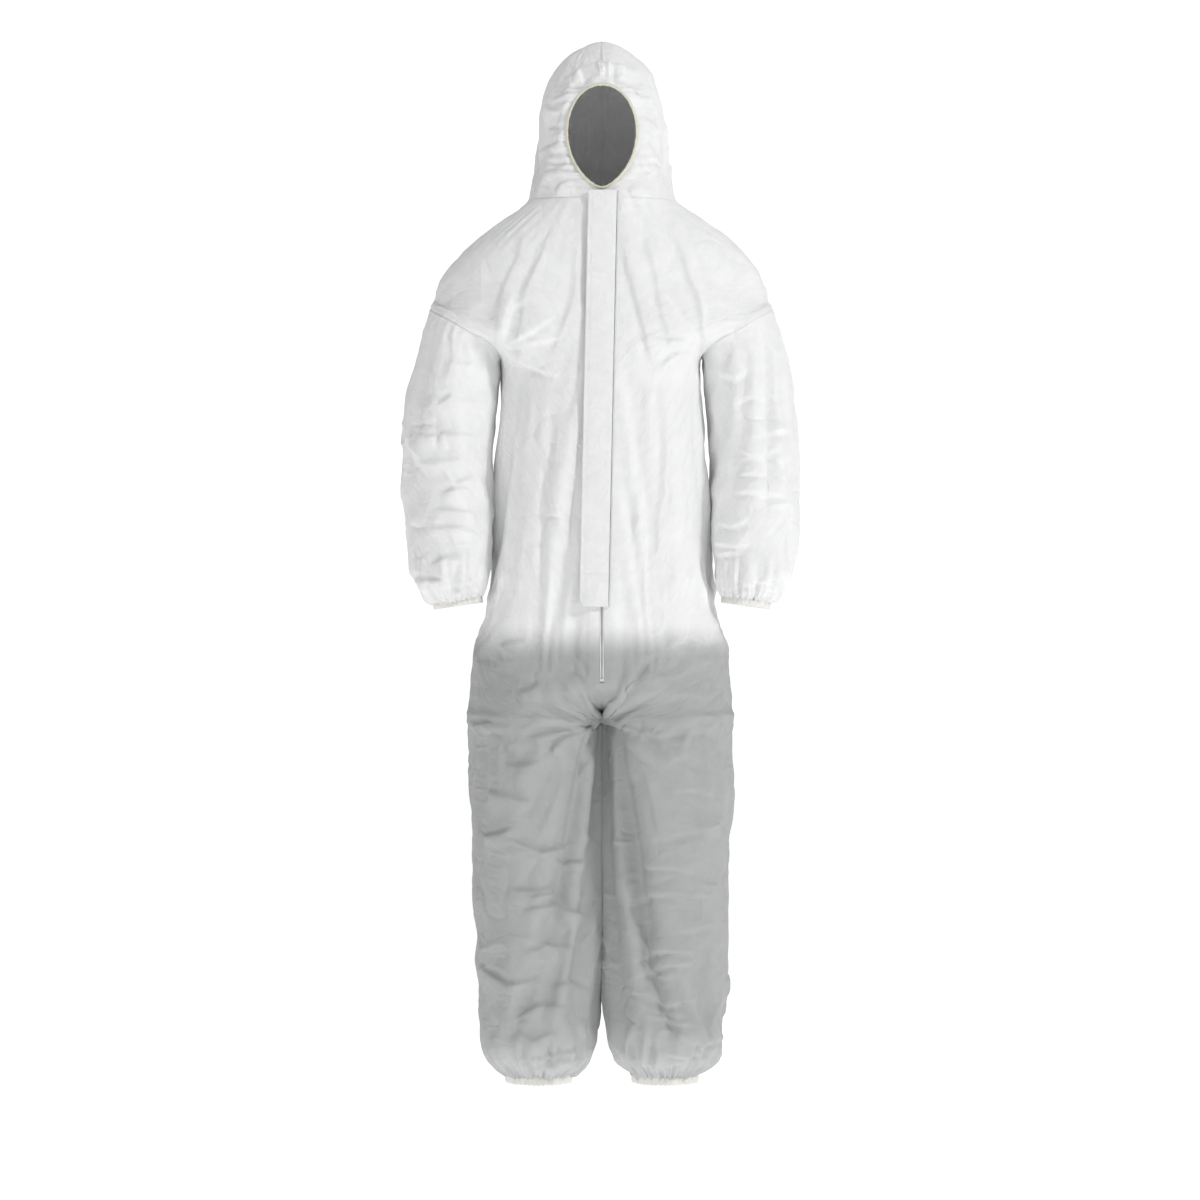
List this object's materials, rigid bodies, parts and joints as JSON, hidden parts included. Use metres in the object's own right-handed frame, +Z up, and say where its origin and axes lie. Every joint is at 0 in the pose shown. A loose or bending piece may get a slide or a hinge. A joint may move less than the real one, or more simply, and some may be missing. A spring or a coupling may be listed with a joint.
{
  "type": "hooded protective coverall",
  "caption": "Hooded disposable chemical protective coverall, hollow as worn, with zip and storm flap, elastic face opening, wrists and ankles, and posable hood, sleeves and legs.",
  "frame": {"origin": "centre of the neck seam, the line where the hood joins the body", "axes": "+Z up, -Y out of the front, +X the wearer's left"},
  "size_m": [0.642, 0.2962, 1.6815],
  "materials": {
    "coverall_cloth": "matt white spun-bonded nonwoven with a fine embossed diagonal pattern",
    "gathered_hem": "nonwoven hem gathered over covered elastic",
    "elastic": "cream knitted elastic",
    "zip_tape": "white woven polyester",
    "zip_coil": "white nylon coil",
    "zip_metal": "white painted die-cast zinc",
    "label": "blank satin tape"
  },
  "bodies": {
    "torso": {"left_front_panel": "coverall_cloth", "right_front_panel": "coverall_cloth", "left_back_panel": "coverall_cloth", "right_back_panel": "coverall_cloth", "crotch_gusset": "coverall_cloth", "waist_elastic": "elastic", "neck_label": "label", "hood_collar": "coverall_cloth", "left_zip_tape": "zip_tape", "right_zip_tape": "zip_tape", "left_zip_coil": "zip_coil", "right_zip_coil": "zip_coil", "zip_top_stops": "zip_metal", "zip_bottom_stop": "zip_metal", "left_shoulder_cloth": "coverall_cloth", "right_shoulder_cloth": "coverall_cloth", "left_hip_cloth": "coverall_cloth", "right_hip_cloth": "coverall_cloth", "flap_seam": "coverall_cloth"},
    "hood": {"left_hood_panel": "coverall_cloth", "right_hood_panel": "coverall_cloth", "face_elastic": "elastic"},
    "flap": {"storm_flap": "coverall_cloth"},
    "slider": {"zip_slider": "zip_metal"},
    "pull": {"zip_pull": "zip_metal"},
    "left_upper_sleeve": {"left_sleeve_upper": "coverall_cloth", "left_elbow_cloth": "coverall_cloth"},
    "right_upper_sleeve": {"right_sleeve_upper": "coverall_cloth", "right_elbow_cloth": "coverall_cloth"},
    "left_lower_sleeve": {"left_sleeve_lower": "coverall_cloth", "left_wrist_elastic": "gathered_hem"},
    "right_lower_sleeve": {"right_sleeve_lower": "coverall_cloth", "right_wrist_elastic": "gathered_hem"},
    "left_upper_leg": {"left_leg_upper": "coverall_cloth", "left_knee_cloth": "coverall_cloth"},
    "right_upper_leg": {"right_leg_upper": "coverall_cloth", "right_knee_cloth": "coverall_cloth"},
    "left_lower_leg": {"left_leg_lower": "coverall_cloth", "left_ankle_elastic": "gathered_hem"},
    "right_lower_leg": {"right_leg_lower": "coverall_cloth", "right_ankle_elastic": "gathered_hem"}
  },
  "joints": [
    {"name": "hood_fold", "type": "hinge", "parent": "torso", "child": "hood", "pos_m": [0, 0.097, 0.02], "axis": [-1, 0, 0], "range_deg": [0, 70], "deforming": ["hood_collar"]},
    {"name": "flap_open", "type": "hinge", "parent": "torso", "child": "flap", "pos_m": [0.024, -0.11078, 0.0094], "axis": [0.0211, 0.0563, 0.9982], "range_deg": [0, 165]},
    {"name": "zip_slide", "type": "slide", "parent": "torso", "child": "slider", "axis": [0, -0.0563, -0.9984], "range_m": [0, 0.742]},
    {"name": "pull_lift", "type": "hinge", "parent": "slider", "child": "pull", "pos_m": [0, -0.10721, -0.00182], "axis": [-1, 0, 0], "range_deg": [0, 99]},
    {"name": "left_shoulder", "type": "hinge", "parent": "torso", "child": "left_upper_sleeve", "pos_m": [0.2175, 0, -0.2015], "axis": [0, -1, 0], "range_deg": [0, 65], "deforming": ["left_shoulder_cloth"]},
    {"name": "left_elbow", "type": "hinge", "parent": "left_upper_sleeve", "child": "left_lower_sleeve", "pos_m": [0.252, -0.028, -0.447], "axis": [-1, 0, 0], "range_deg": [0, 80], "deforming": ["left_elbow_cloth"]},
    {"name": "left_hip", "type": "hinge", "parent": "torso", "child": "left_upper_leg", "pos_m": [0.11, 0, -0.8], "axis": [-1, 0, 0], "range_deg": [-15, 70], "deforming": ["left_hip_cloth"]},
    {"name": "left_knee", "type": "hinge", "parent": "left_upper_leg", "child": "left_lower_leg", "pos_m": [0.107, 0.024, -1.095], "axis": [1, 0, 0], "range_deg": [0, 75], "deforming": ["left_knee_cloth"]},
    {"name": "right_shoulder", "type": "hinge", "parent": "torso", "child": "right_upper_sleeve", "pos_m": [-0.2175, 0, -0.2015], "axis": [0, 1, 0], "range_deg": [0, 65], "deforming": ["right_shoulder_cloth"]},
    {"name": "right_elbow", "type": "hinge", "parent": "right_upper_sleeve", "child": "right_lower_sleeve", "pos_m": [-0.252, -0.028, -0.447], "axis": [-1, 0, 0], "range_deg": [0, 80], "deforming": ["right_elbow_cloth"]},
    {"name": "right_hip", "type": "hinge", "parent": "torso", "child": "right_upper_leg", "pos_m": [-0.11, 0, -0.8], "axis": [-1, 0, 0], "range_deg": [-15, 70], "deforming": ["right_hip_cloth"]},
    {"name": "right_knee", "type": "hinge", "parent": "right_upper_leg", "child": "right_lower_leg", "pos_m": [-0.107, 0.024, -1.095], "axis": [1, 0, 0], "range_deg": [0, 75], "deforming": ["right_knee_cloth"]}
  ],
  "couplings": [
    {"joint": "pull_lift", "follows": "flap_open", "ratio": 0.6}
  ]
}
